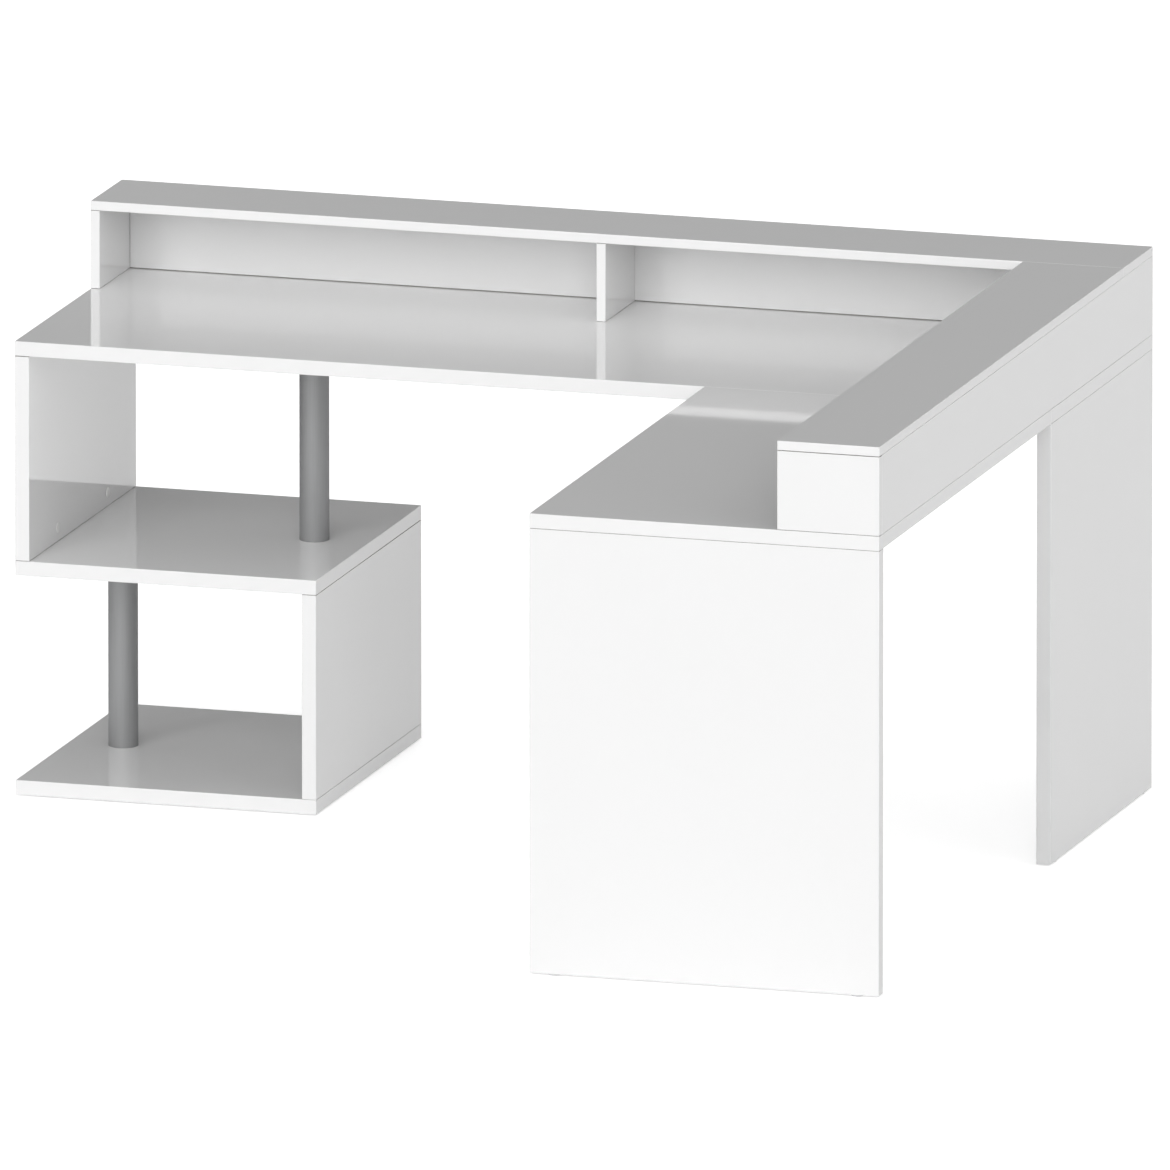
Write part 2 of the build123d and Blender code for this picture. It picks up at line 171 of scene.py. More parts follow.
class PostSettings(bpy.types.PropertyGroup):
    """Satin tubes of the shelf tower"""

    tone: FloatVectorProperty(
        name="Metal tone", description="Colour of the satin metal", subtype="COLOR", size=4,
        min=0.0, max=1.0, default=(0.345, 0.348, 0.351, 1.0))
    roughness: FloatProperty(
        name="Satin roughness", description="Roughness of the brushed metal", subtype="FACTOR",
        min=0.0, max=1.0, default=0.60)
    rim: FloatVectorProperty(
        name="Rim tone", description="Tint of the metal where it is seen edge on", subtype="COLOR", size=4,
        min=0.0, max=1.0, default=(0.30, 0.30, 0.31, 1.0))
    diameter: FloatProperty(
        name="Diameter", description="Outer diameter of the tube",
        subtype="DISTANCE", unit="LENGTH", default=node_size(POSTS[0]).x)
    wall: FloatProperty(
        name="Wall", description="Thickness of the tube's wall",
        subtype="DISTANCE", unit="LENGTH", default=1.5 * MM)
    lip: FloatProperty(
        name="Lip", description="Radius of the tube's deburred ends",
        subtype="DISTANCE", unit="LENGTH", default=0.5 * MM)
    sides: IntProperty(
        name="Sides", description="Flats round the tube", min=12, default=128)


class FittingSettings(bpy.types.PropertyGroup):
    """Fittings inside and under the boards"""

    play: FloatProperty(
        name="Play", description="Room round a fitting in its bore",
        subtype="DISTANCE", unit="LENGTH", default=0.15 * MM)
    flutes: IntProperty(
        name="Dowel flutes", description="Glue grooves round a dowel", min=4, default=16)
    thread_depth: FloatProperty(
        name="Thread depth", description="Depth of the cut threads",
        subtype="DISTANCE", unit="LENGTH", default=0.45 * MM)
    spin: FloatProperty(
        name="Spin", description="How far a screw may stop from the next one's angle",
        subtype="ANGLE", unit="ROTATION", default=math.pi)
    seed: IntProperty(
        name="Seed", description="Seed of the angles at which screws and dowels stop", default=7)


class StageSettings(bpy.types.PropertyGroup):
    """Camera, lamps, sky and floor"""

    azimuth: FloatProperty(
        name="Camera azimuth", description="Turn of the view to the right of straight on",
        subtype="ANGLE", unit="ROTATION", default=math.radians(16.852))
    elevation: FloatProperty(
        name="Camera elevation", description="Height of the view above the horizon",
        subtype="ANGLE", unit="ROTATION", default=math.radians(12.775))
    frame_width: FloatProperty(
        name="Frame width", description="Width that the picture shows at the desk",
        subtype="DISTANCE", unit="LENGTH", default=1.94305)
    aim_right: FloatProperty(
        name="Aim right", description="Shift of the view's centre to the right of the origin",
        subtype="DISTANCE", unit="LENGTH", default=0.14696)
    aim_up: FloatProperty(
        name="Aim up", description="Shift of the view's centre above the origin",
        subtype="DISTANCE", unit="LENGTH", default=0.45248)
    lens: FloatProperty(
        name="Lens", description="Focal length, long enough for parallel edges to stay parallel",
        subtype="DISTANCE_CAMERA", min=1.0, default=1700.0)
    zenith: FloatProperty(
        name="Overhead light", description="Strength of the sky straight above", min=0.0, default=0.82)
    key: FloatProperty(
        name="Key light", description="Light that the key lamp throws on a face turned to it",
        min=0.0, default=0.795)
    side: FloatProperty(
        name="Side light", description="Light that the side lamp throws on a face turned to it",
        min=0.0, default=0.17)
    fill: FloatProperty(
        name="Back fill", description="Light that the fill lamp throws on a face turned to it",
        min=0.0, default=0.24)
    backdrop: FloatProperty(
        name="Backdrop glow", description="White that the floor adds for the camera and for reflections",
        subtype="FACTOR", min=0.0, max=1.0, default=0.56)


class DeskSettings(bpy.types.PropertyGroup):
    """All settings of the corner desk"""

    lacquer: PointerProperty(type=LacquerSettings, name="Lacquer", description="Gloss boards")
    posts: PointerProperty(type=PostSettings, name="Posts", description="Satin tubes")
    fittings: PointerProperty(type=FittingSettings, name="Fittings", description="Dowels, cams and screws")
    stage: PointerProperty(type=StageSettings, name="Stage", description="Camera and light")


# Nodes

def add_node(tree, kind, inputs=None, **options):
    """Adds a node with its options; each input is a value to set or a socket to link from."""
    node = tree.nodes.new(kind)
    for option, value in options.items():
        setattr(node, option, value)
    for label, value in (inputs or {}).items():
        if isinstance(value, bpy.types.NodeSocket):
            tree.links.new(value, node.inputs[label])
        else:
            node.inputs[label].default_value = value
    return node


def math_node(tree, operation, *values, clamp=False):
    """A Math node's output; each value is a number or a socket."""
    node = add_node(tree, "ShaderNodeMath", dict(enumerate(values)), operation=operation, use_clamp=clamp)
    return node.outputs["Value"]


def add_sockets(tree, side, kinds):
    """Gives a group its INPUT or OUTPUT sockets, from their labels and kinds."""
    for label, kind in kinds.items():
        tree.interface.new_socket(label, in_out=side, socket_type="NodeSocket" + kind)


# Materials

def surface_group():
    """Shared surface effect: a drift of the tone, wiping haze in the roughness, and a fine relief."""
    name = "Worked surface"
    if name in bpy.data.node_groups:
        return bpy.data.node_groups[name]
    group = bpy.data.node_groups.new(name, "ShaderNodeTree")
    add_sockets(group, "INPUT", {
        "Vector": "Vector", "Tone": "Color", "Drift": "Float", "Roughness": "Float", "Haze": "Float",
        "Haze scale": "Float", "Relief scale": "Float"})
    add_sockets(group, "OUTPUT", {"Color": "Color", "Roughness": "Float", "Relief": "Float"})
    start = add_node(group, "NodeGroupInput").outputs
    cloud = add_node(group, "ShaderNodeTexNoise", {
        "Vector": start["Vector"], "Scale": start["Haze scale"], "Detail": 3.0}).outputs["Fac"]
    dark = math_node(group, "MULTIPLY", cloud, start["Drift"])
    shade = add_node(group, "ShaderNodeVectorMath", {
        "Vector": start["Tone"], "Scale": math_node(group, "SUBTRACT", 1.0, dark)}, operation="SCALE")
    relief = add_node(group, "ShaderNodeTexNoise", {
        "Vector": start["Vector"], "Scale": start["Relief scale"], "Detail": 2.0})
    add_node(group, "NodeGroupOutput", {
        "Color": shade.outputs["Vector"],
        "Roughness": math_node(group, "MULTIPLY_ADD", cloud, start["Haze"], start["Roughness"]),
        "Relief": relief.outputs["Fac"]})
    return group


def empty_material(name):
    """The material of that name, found or new, with its node tree emptied."""
    material = bpy.data.materials.get(name) or bpy.data.materials.new(name)
    material.use_nodes = True
    material.node_tree.nodes.clear()
    return material


def worked_material(name, tone, roughness, drift, haze, haze_scale, relief_scale, relief_depth,
                    stretch=(1.0, 1.0, 1.0), **shader_inputs):
    """A material that reads the shared surface effect on Object coordinates."""
    material = empty_material(name)
    tree = material.node_tree
    place = add_node(tree, "ShaderNodeTexCoord")
    mapping = add_node(tree, "ShaderNodeMapping", {"Vector": place.outputs["Object"], "Scale": stretch})
    worked = add_node(tree, "ShaderNodeGroup", {
        "Vector": mapping.outputs["Vector"], "Tone": tone, "Drift": drift, "Roughness": roughness,
        "Haze": haze, "Haze scale": haze_scale, "Relief scale": relief_scale}, node_tree=surface_group())
    bump = add_node(tree, "ShaderNodeBump", {
        "Height": worked.outputs["Relief"], "Distance": relief_depth})
    shader = add_node(tree, "ShaderNodeBsdfPrincipled", {
        "Base Color": worked.outputs["Color"], "Roughness": worked.outputs["Roughness"],
        "Normal": bump.outputs["Normal"], **shader_inputs})
    add_node(tree, "ShaderNodeOutputMaterial", {"Surface": shader.outputs["BSDF"]})
    return material


def board_lacquer(settings):
    return worked_material(
        "White gloss lacquer", tone=settings.tone, roughness=settings.gloss, drift=0.012, haze=settings.haze,
        haze_scale=5.0, relief_scale=260.0, relief_depth=settings.peel, IOR=1.55)


def sheet_lacquer(settings):
    # The sheet's tone is partly its own duller white and partly painted shade for the shade inside the riser
    return worked_material(
        "White gloss sheet", tone=settings.sheet_tone_with_painted_shade, roughness=settings.gloss, drift=0.015,
        haze=settings.haze, haze_scale=7.0, relief_scale=180.0, relief_depth=settings.peel * 1.5, IOR=1.5)


def raw_core():
    """Pressed chips of the board's core, seen only in bores and hairlines."""
    return worked_material(
        "Raw board core", tone=(0.345, 0.325, 0.295, 1.0), roughness=0.8, drift=0.5, haze=0.1,
        haze_scale=500.0, relief_scale=900.0, relief_depth=0.05 * MM, IOR=1.4)


def satin_metal(settings):
    return worked_material(
        "Satin grey metal", tone=settings.tone, roughness=settings.roughness, drift=0.06, haze=0.08,
        haze_scale=14.0, relief_scale=60.0, relief_depth=0.01 * MM, stretch=(40.0, 40.0, 1.0),
        Metallic=0.6, **{"Specular Tint": settings.rim})


def zinc_plate():
    return worked_material(
        "Zinc plated steel", tone=(0.62, 0.63, 0.65, 1.0), roughness=0.28, drift=0.12, haze=0.14,
        haze_scale=160.0, relief_scale=900.0, relief_depth=0.01 * MM, Metallic=1.0)


def moulded_plastic(name, tone):
    return worked_material(
        name, tone=tone, roughness=0.34, drift=0.04, haze=0.12,
        haze_scale=90.0, relief_scale=1400.0, relief_depth=0.01 * MM, IOR=1.46)


def grey_plastic():
    return moulded_plastic("Grey plastic", (0.70, 0.70, 0.71, 1.0))


def white_plastic():
    return moulded_plastic("White cap plastic", (0.80, 0.80, 0.79, 1.0))


def beech_wood():
    return worked_material(
        "Turned beech", tone=(0.62, 0.44, 0.26, 1.0), roughness=0.55, drift=0.35, haze=0.2,
        haze_scale=30.0, relief_scale=120.0, relief_depth=0.05 * MM, stretch=(12.0, 12.0, 1.0), IOR=1.45)


# Meshes

def new_object(name, data):
    made = bpy.data.objects.new(name, data)
    bpy.context.scene.collection.objects.link(made)
    return made


def shade_round(mesh, sharp):
    """Shades a mesh smooth, apart from edges sharper than an angle."""
    mesh.polygons.foreach_set("use_smooth", [True] * len(mesh.polygons))
    mesh.set_sharp_from_angle(angle=sharp)


def mesh_of(shape, name):
    """A mesh from a bmesh, with its normals outwards and its sharp edges kept sharp."""
    bmesh.ops.recalc_face_normals(shape, faces=shape.faces)
    mesh = bpy.data.meshes.new(name)
    shape.to_mesh(mesh)
    shape.free()
    shade_round(mesh, SHARP_EDGE)
    return mesh


def turned(profile, sides, closed=False, warp=None):
    """A shape turned about Z from (radius, height) points; closed joins the last point to the first.

    warp takes (radius, height, angle) and gives the radius there, for flutes, flats and threads.
    """
    shape = bmesh.new()
    rings = []
    for radius, height in profile:
        if radius == 0.0:
            rings.append([shape.verts.new((0.0, 0.0, height))])
            continue
        ring = []
        for step in range(sides):
            angle = 2.0 * math.pi * step / sides
            reach = warp(radius, height, angle) if warp else radius
            ring.append(shape.verts.new((reach * math.cos(angle), reach * math.sin(angle), height)))
        rings.append(ring)
    pairs = list(zip(rings, rings[1:]))
    if closed:
        pairs.append((rings[-1], rings[0]))
    for below, above in pairs:
        for step in range(sides):
            after = (step + 1) % sides
            corners = [below[step % len(below)], below[after % len(below)],
                       above[after % len(above)], above[step % len(above)]]
            shape.faces.new(list(dict.fromkeys(corners)))
    return shape


def drilled(radius, start, end):
    """The profile of a straight bore between two heights."""
    return [(0.0, start), (radius, start), (radius, end), (0.0, end)]


def stepped(radius, start, step, narrow, end):
    """The profile of a bore that goes from one radius to another at a step."""
    return [(0.0, start), (radius, start), (radius, step), (narrow, step), (narrow, end), (0.0, end)]


def add_block(shape, low, high):
    """Adds a closed block between two corners."""
    corner = [shape.verts.new((x, y, z)) for x in (low[0], high[0]) for y in (low[1], high[1])
              for z in (low[2], high[2])]
    for face in ((0, 1, 3, 2), (4, 6, 7, 5), (0, 4, 5, 1), (2, 3, 7, 6), (0, 2, 6, 4), (1, 5, 7, 3)):
        shape.faces.new([corner[index] for index in face])


def helix(radius, start, end, pitch, depth):
    """A warp that cuts a thread of that depth between two heights, fading out at both ends."""
    def warp(reach, height, angle):
        if not start < height < end or abs(reach - radius) > depth:
            return reach
        turn = (height / pitch - angle / (2.0 * math.pi)) % 1.0
        fade = min(1.0, (height - start) / pitch, (end - height) / pitch)
        return reach - depth * fade * abs(2.0 * turn - 1.0)
    return warp


def thread_rows(radius, start, end, pitch):
    """Profile points close enough together to carry a thread."""
    rows_in_a_turn = 4.0
    count = max(2, round(rows_in_a_turn * (end - start) / pitch))
    return [(radius, start + (end - start) * index / count) for index in range(count + 1)]


def evaluated_mesh(made, name):
    """The plain mesh that an object's modifiers give."""
    depsgraph = bpy.context.evaluated_depsgraph_get()
    mesh = bpy.data.meshes.new_from_object(made.evaluated_get(depsgraph), depsgraph=depsgraph)
    mesh.name = name
    return mesh


def discard(*objects):
    for made in objects:
        mesh = made.data
        bpy.data.objects.remove(made)
        bpy.data.meshes.remove(mesh)


def cut(mesh, cutters):
    """The mesh with closed cutter shapes taken out of it."""
    body = new_object("Body", mesh)
    tool = new_object("Cutter", cutters)
    change = body.modifiers.new("Cut", "BOOLEAN")
    change.object = tool
    change.operation = "DIFFERENCE"
    change.solver = "EXACT"
    change.use_self = True
    result = evaluated_mesh(body, mesh.name)
    discard(body, tool)
    shape = bmesh.new()
    shape.from_mesh(result)
    bmesh.ops.dissolve_degenerate(shape, edges=shape.edges, dist=0.002 * MM)
    strays = [edge for edge in shape.edges if not edge.link_faces]
    bmesh.ops.delete(shape, geom=strays, context="EDGES")
    shape.to_mesh(result)
    shape.free()
    return result


def add_piece(node, name, mesh):
    """The finished piece for a CAD node: it rides on the desk, and the node itself is hidden."""
    piece = new_object(name, mesh)
    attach(piece, "root")
    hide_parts(node)
    return piece


# Places of the fittings, read from the frame; a box is a pair of corners, (low, high)

def box_of(points):
    low = Vector([min(point[axis] for point in points) for axis in range(3)])
    high = Vector([max(point[axis] for point in points) for axis in range(3)])
    return low, high


def solids(node):
    """The box of each separate solid of a node."""
    shape = bmesh.new()
    shape.from_mesh(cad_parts[node].data)
    bmesh.ops.remove_doubles(shape, verts=shape.verts, dist=SAME)
    left = set(shape.verts)
    found = []
    while left:
        open_ends = [left.pop()]
        points = []
        while open_ends:
            vert = open_ends.pop()
            points.append(vert.co.copy())
            for edge in vert.link_edges:
                other = edge.other_vert(vert)
                if other in left:
                    left.remove(other)
                    open_ends.append(other)
        found.append(box_of(points))
    shape.free()
    return sorted(found, key=lambda box: tuple(round(value, 5) for value in box[0] + box[1]))


def middle(box):
    return (box[0] + box[1]) / 2.0


def base_point(box):
    """The middle of a box's underside."""
    return Vector((*middle(box).xy, box[0].z))


def height_of(box):
    return box[1].z - box[0].z


def axis_of(box, pick):
    """The unit axis along which a box is longest (pick=max) or shortest (pick=min)."""
    size = box[1] - box[0]
    best = pick(range(3), key=lambda axis: size[axis])
    return Vector([float(axis == best) for axis in range(3)])


def extent(box, pick):
    """How far a box reaches along that axis."""
    return pick(box[1] - box[0])


def pointing(axis, way):
    """The axis, turned round where it points against a way."""
    return -axis if way.dot(axis) < 0.0 else axis


def nearest(box, others):
    return min(others, key=lambda other: (middle(other) - middle(box)).length)


def overlap(first, second, depth=0.1 * MM):
    """Whether two boxes reach into each other by more than a depth."""
    return all(first[0][axis] + depth < second[1][axis] and second[0][axis] + depth < first[1][axis]
               for axis in range(3))


def turn_to(z_axis, x_axis=None):
    """The rotation that lays a shape's Z, and its X where given, along these axes."""
    if x_axis is None:
        return UP.rotation_difference(z_axis)
    y_axis = z_axis.cross(x_axis)
    return Matrix((x_axis, y_axis, z_axis)).transposed().to_quaternion()


def upright(boxes):
    """Places on the low ends of upright solids."""
    return [(base_point(box), turn_to(UP)) for box in boxes]


# A cam's point on the face, its ways out of the face and away from the joint, its length, its bolt's foot
CamPlace = namedtuple("CamPlace", "face outward inward length foot")


def cam_places(group):
    """The place of each cam of a group."""
    caps = solids(group + "_cam_caps")
    bolts = solids(group + "_cam_bolts")
    places = []
    for drum in solids(group + "_cam_locks"):
        cap = nearest(drum, caps)
        bolt = nearest(drum, bolts)
        through = axis_of(cap, min)
        outward = pointing(through, middle(cap) - middle(drum))
        inward = pointing(axis_of(bolt, max), middle(drum) - middle(bolt))
        face = middle(cap) - outward * extent(cap, min) / 2.0
        foot = middle(bolt) - inward * extent(bolt, max) / 2.0
        places.append(CamPlace(face, outward, inward, (drum[1] - drum[0]).dot(through), foot))
    return places


# Geometry Nodes

def growing_tree(name, inputs, build):
    """The geometry tree of that name: what build makes from its inputs, realized, with its finish."""
    if name in bpy.data.node_groups:
        return bpy.data.node_groups[name]
    tree = bpy.data.node_groups.new(name, "GeometryNodeTree")
    add_sockets(tree, "OUTPUT", {"Geometry": "Geometry"})
    add_sockets(tree, "INPUT", {"Geometry": "Geometry", **inputs, "Finish": "Material"})
    start = add_node(tree, "NodeGroupInput").outputs
    real = add_node(tree, "GeometryNodeRealizeInstances", {"Geometry": build(tree, start)})
    finish = add_node(tree, "GeometryNodeSetMaterial", {
        "Geometry": real.outputs["Geometry"], "Material": start["Finish"]})
    add_node(tree, "NodeGroupOutput", {"Geometry": finish.outputs["Geometry"]})
    return tree


def live_socket(sockets, **wanted):
    """The first socket in use whose attributes are the wanted ones."""
    return next(socket for socket in sockets if socket.enabled
                and all(getattr(socket, key) == value for key, value in wanted.items()))


def placed_copies(tree, start):
    """Copies of one fitting on points, along each point's facing, at a seeded spin."""
    fitting = add_node(tree, "GeometryNodeObjectInfo", {"Object": start["Fitting"]})
    facing = add_node(tree, "GeometryNodeInputNamedAttribute", {"Name": "facing"}, data_type="QUATERNION")
    chance = add_node(tree, "FunctionNodeRandomValue", {"Seed": start["Seed"]}, data_type="FLOAT")
    tree.links.new(start["Spin"], live_socket(chance.inputs, name="Max"))
    spin = add_node(tree, "FunctionNodeAxisAngleToRotation", {
        "Axis": UP, "Angle": live_socket(chance.outputs, type="VALUE")})
    turn = add_node(tree, "FunctionNodeRotateRotation", {
        "Rotation": live_socket(facing.outputs, type="ROTATION"), "Rotate By": spin.outputs["Rotation"]},
        rotation_space="LOCAL")
    copies = add_node(tree, "GeometryNodeInstanceOnPoints", {
        "Points": start["Geometry"], "Instance": fitting.outputs["Geometry"],
        "Rotation": turn.outputs["Rotation"]})
    return copies.outputs["Instances"]


def tube_copies(tree, start):
    """A tube along Z on each point: its wall section, with rounded lips, carried round a circle."""
    across = math_node(tree, "SUBTRACT", start["Diameter"], start["Wall"])
    circle = add_node(tree, "GeometryNodeCurvePrimitiveCircle", {
        "Radius": math_node(tree, "MULTIPLY", across, 0.5), "Resolution": start["Sides"]})
    level = add_node(tree, "GeometryNodeSetCurveNormal", {"Curve": circle.outputs["Curve"]}, mode="Z_UP")
    section = add_node(tree, "GeometryNodeCurvePrimitiveQuadrilateral", {
        "Width": start["Wall"], "Height": start["Length"]})
    lips = add_node(tree, "GeometryNodeFilletCurve", {
        "Curve": section.outputs["Curve"], "Radius": start["Lip"], "Count": 3}, mode="POLY")
    wall = add_node(tree, "GeometryNodeCurveToMesh", {
        "Curve": level.outputs["Curve"], "Profile Curve": lips.outputs["Curve"]})
    copies = add_node(tree, "GeometryNodeInstanceOnPoints", {
        "Points": start["Geometry"], "Instance": wall.outputs["Mesh"]})
    return copies.outputs["Instances"]


def placing_tree():
    return growing_tree(
        "Place fittings", {"Fitting": "Object", "Spin": "Float", "Seed": "Int"}, placed_copies)


def tube_tree():
    lengths = dict.fromkeys(("Diameter", "Wall", "Length", "Lip"), "Float")
    return growing_tree("Post tube", {**lengths, "Sides": "Int"}, tube_copies)


def set_inputs(modifier, values):
    """Sets a modifier's inputs by their sockets' identifiers."""
    identifiers = {item.name: item.identifier for item in modifier.node_group.interface.items_tree
                   if item.in_out == "INPUT"}
    for label, value in values.items():
        modifier[identifiers[label]] = value


def grown(node, name, tree, places, values):
    """Runs a tree on the places, (point, rotation), and makes its result the piece for a node."""
    points = bpy.data.meshes.new(name + "_points")
    points.from_pydata([place for place, rotation in places], [], [])
    facing = points.attributes.new("facing", "QUATERNION", "POINT")
    for index, (place, rotation) in enumerate(places):
        facing.data[index].value = rotation
    holder = new_object(name + "_points", points)
    modifier = holder.modifiers.new("Grow", "NODES")
    modifier.node_group = tree
    set_inputs(modifier, values)
    mesh = evaluated_mesh(holder, name)
    discard(holder)
    if not mesh.polygons:
        raise RuntimeError("the tree gave no faces for " + name)
    return add_piece(node, name, mesh)


def place_fittings(node, name, pattern, places, material, spin=0.0, seed=0):
    """Sets copies of a fitting's mesh at the places as the piece for a node."""
    model = new_object(name + "_pattern", pattern)
    values = {"Fitting": model, "Spin": spin, "Seed": seed, "Finish": material}
    grown(node, name, placing_tree(), places, values)
    discard(model)


# Boards

def board_bores(play):
    """Every bore as (turned profile, point, rotation); a board is cut by those that reach into it."""
    bores = []
    for node in DOWELS:
        for box in solids(node):
            half = (extent(box, max) + END_ROOM) / 2.0
            profile = drilled(DOWEL_BORE + play, -half, half)
            bores.append((profile, middle(box), turn_to(axis_of(box, max))))
    for group in CAM_GROUPS:
        for cam in cam_places(group):
            drum = drilled(CAM_RADIUS + play, -cam.length, PAST)
            bores.append((drum, cam.face, turn_to(cam.outward)))
            bolt = stepped(CAM_BOLT_RADIUS + play, 0.0, CAM_BOLT_GRIP - OFF_FACE,
                           CAM_BOLT_CLEAR, CAM_BOLT_GRIP + CAM_BOLT_REACH)
            bores.append((bolt, cam.foot, turn_to(cam.inward)))
    for box in solids("post_bolts"):
        board_bottom = box[0].z - BOLT_HEAD_SUNK
        bolt = stepped(BOLT_HEAD_BORE, -PAST, BOLT_SEAT, POST_THREAD + play, BOLT_THROUGH)
        bores.append((bolt, Vector((*middle(box).xy, board_bottom)), turn_to(UP)))
    for node, radius, start in (
        ("post_inserts", INSERT_RADIUS, -PAST), ("joining_plate_screws", PLATE_SCREW_RADIUS, 0.0),
    ):
        for box in solids(node):
            profile = drilled(radius + play, start, height_of(box) + END_ROOM)
            bores.append((profile, base_point(box), turn_to(UP)))
    return bores


def add_bores(cutters, board, bores):
    """Adds the bores that reach into a board."""
    for profile, point, rotation in bores:
        shape = turned(profile, SCREW_SIDES)
        shape.transform(Matrix.Translation(point) @ rotation.to_matrix().to_4x4())
        mesh = mesh_of(shape, "Bore")
        if overlap(board, box_of([vert.co for vert in mesh.vertices])):
            cutters.from_mesh(mesh)
        bpy.data.meshes.remove(mesh)


def add_rebate(cutters, sheet):
    """Adds the rebate for the back sheet, open behind it and below it."""
    low = sheet[0] - Vector((SHEET_PLAY, SHEET_PLAY, SHEET_PLAY + PAST))
    high = sheet[1] + Vector((SHEET_PLAY, SHEET_PLAY + PAST, SHEET_PLAY))
    add_block(cutters, low, high)


def add_seam(cutters, board, end, height, depth):
    """Adds the cutters of a hairline round the foot or the head of an upright board."""
    past = Vector((PAST, PAST, PAST))
    for across in (0, 1):
        for near in (True, False):
            low = board[0] - past
            high = board[1] + past
            if end == "head":
                low.z = board[1].z - height
            else:
                high.z = board[0].z + height
            if near:
                high[across] = board[0][across] + depth
            else:
                low[across] = board[1][across] - depth
            add_block(cutters, low, high)


def add_sheet_seams(cutters, sheet, settings):
    """Adds the hairlines of the back sheet, along the worktop and beside the riser's left end."""
    low, high = sheet
    depth = low.y + settings.seam_depth
    add_block(cutters, low - Vector((PAST, PAST, PAST)), (high.x + PAST, depth, low.z + SHEET_SEAM))
    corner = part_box("riser_left_end")[1].x
    add_block(cutters, (corner, low.y - PAST, low.z - PAST), (corner + settings.seam, depth, high.z + PAST))


def cutters_for(node, bores, settings):
    """One mesh of all cutters that reach into a board: its bores, its hairlines and the sheet's rebate."""
    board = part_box(node)
    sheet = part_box(BACK_SHEET)
    cutters = bmesh.new()
    add_bores(cutters, board, bores)
    if node != BACK_SHEET and node not in WORKTOPS and overlap(board, sheet):
        add_rebate(cutters, sheet)
    if node in SEAMS:
        share, *ends = SEAMS[node]
        for end in ends:
            add_seam(cutters, board, end, share * settings.seam, settings.seam_depth)
    if node == BACK_SHEET:
        add_sheet_seams(cutters, board, settings)
    return mesh_of(cutters, "Cutters")


def rounded_block(node, settings):
    """The board's block with rounded arrises, smaller along an edge that butts against its neighbour."""
    low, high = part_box(node)
    shape = bmesh.new()
    add_block(shape, low, high)
    mesh = mesh_of(shape, node)
    weight = mesh.attributes.new("bevel_weight_edge", "FLOAT", "EDGE")
    for edge in mesh.edges:
        ends = [mesh.vertices[index].co for index in edge.vertices]
        tight = node in BUTTED and all(abs(end.y - high.y) < SAME for end in ends)
        weight.data[edge.index].value = settings.butt if tight else 1.0
    body = new_object("Block", mesh)
    arris = body.modifiers.new("Arris", "BEVEL")
    arris.width = settings.arris
    arris.segments = 3
    arris.limit_method = "WEIGHT"
    rounded = evaluated_mesh(body, node)
    discard(body)
    return rounded


def flat_faces(mesh):
    """Square faces stay flat, so that only the arrises and bores are shaded round."""
    square = 0.9999
    for face in mesh.polygons:
        face.use_smooth = max(abs(value) for value in face.normal) < square


def make_boards(nodes, material, settings):
    """Makes the boards: lacquer outside, raw core wherever a cutter has opened them."""
    bores = board_bores(settings.fittings.play)
    core = raw_core()
    for node in nodes:
        mesh = rounded_block(node, settings.lacquer)
        cutters = cutters_for(node, bores, settings.lacquer)
        for part in (mesh, cutters):
            part.materials.append(material)
            part.materials.append(core)
        for face in cutters.polygons:
            face.material_index = 1
        mesh = cut(mesh, cutters)
        flat_faces(mesh)
        add_piece(node, node + "_lacquered", mesh)


def make_lacquered(nodes, context):
    """Makes boards in the gloss lacquer that they share."""
    settings = context.scene.corner_desk
    make_boards(nodes, board_lacquer(settings.lacquer), settings)


class DESK_OT_worktops(bpy.types.Operator):
    """Make the two worktops"""

    bl_idname = "corner_desk.worktops"
    bl_label = "Worktops"

    def execute(self, context):
        make_lacquered(WORKTOPS, context)
        return {"FINISHED"}


class DESK_OT_tower(bpy.types.Operator):
    """Make the boards of the shelf tower"""

    bl_idname = "corner_desk.tower"
    bl_label = "Shelf tower boards"

    def execute(self, context):
        make_lacquered(TOWER_BOARDS, context)
        return {"FINISHED"}


class DESK_OT_legs(bpy.types.Operator):
    """Make the two leg panels"""

    bl_idname = "corner_desk.legs"
    bl_label = "Leg panels"

    def execute(self, context):
        make_lacquered(LEG_PANELS, context)
        return {"FINISHED"}


class DESK_OT_riser(bpy.types.Operator):
    """Make the boards of the riser"""

    bl_idname = "corner_desk.riser"
    bl_label = "Riser boards"

    def execute(self, context):
        make_lacquered(RISER_BOARDS, context)
        return {"FINISHED"}


class DESK_OT_back_sheet(bpy.types.Operator):
    """Make the thin sheet behind the riser"""

    bl_idname = "corner_desk.back_sheet"
    bl_label = "Back sheet"

    def execute(self, context):
        settings = context.scene.corner_desk
        make_boards((BACK_SHEET,), sheet_lacquer(settings.lacquer), settings)
        return {"FINISHED"}


# Posts

class DESK_OT_posts(bpy.types.Operator):
    """Grow the two satin tubes"""

    bl_idname = "corner_desk.posts"
    bl_label = "Post tubes"

    def execute(self, context):
        settings = context.scene.corner_desk.posts
        material = satin_metal(settings)
        for node in POSTS:
            values = {"Diameter": settings.diameter, "Wall": settings.wall, "Length": node_size(node).z,
                      "Lip": settings.lip, "Sides": settings.sides, "Finish": material}
            places = [(middle(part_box(node)), Quaternion())]
            piece = grown(node, node + "_satin", tube_tree(), places, values)
            shade_round(piece.data, SHARP_LIP)
        return {"FINISHED"}


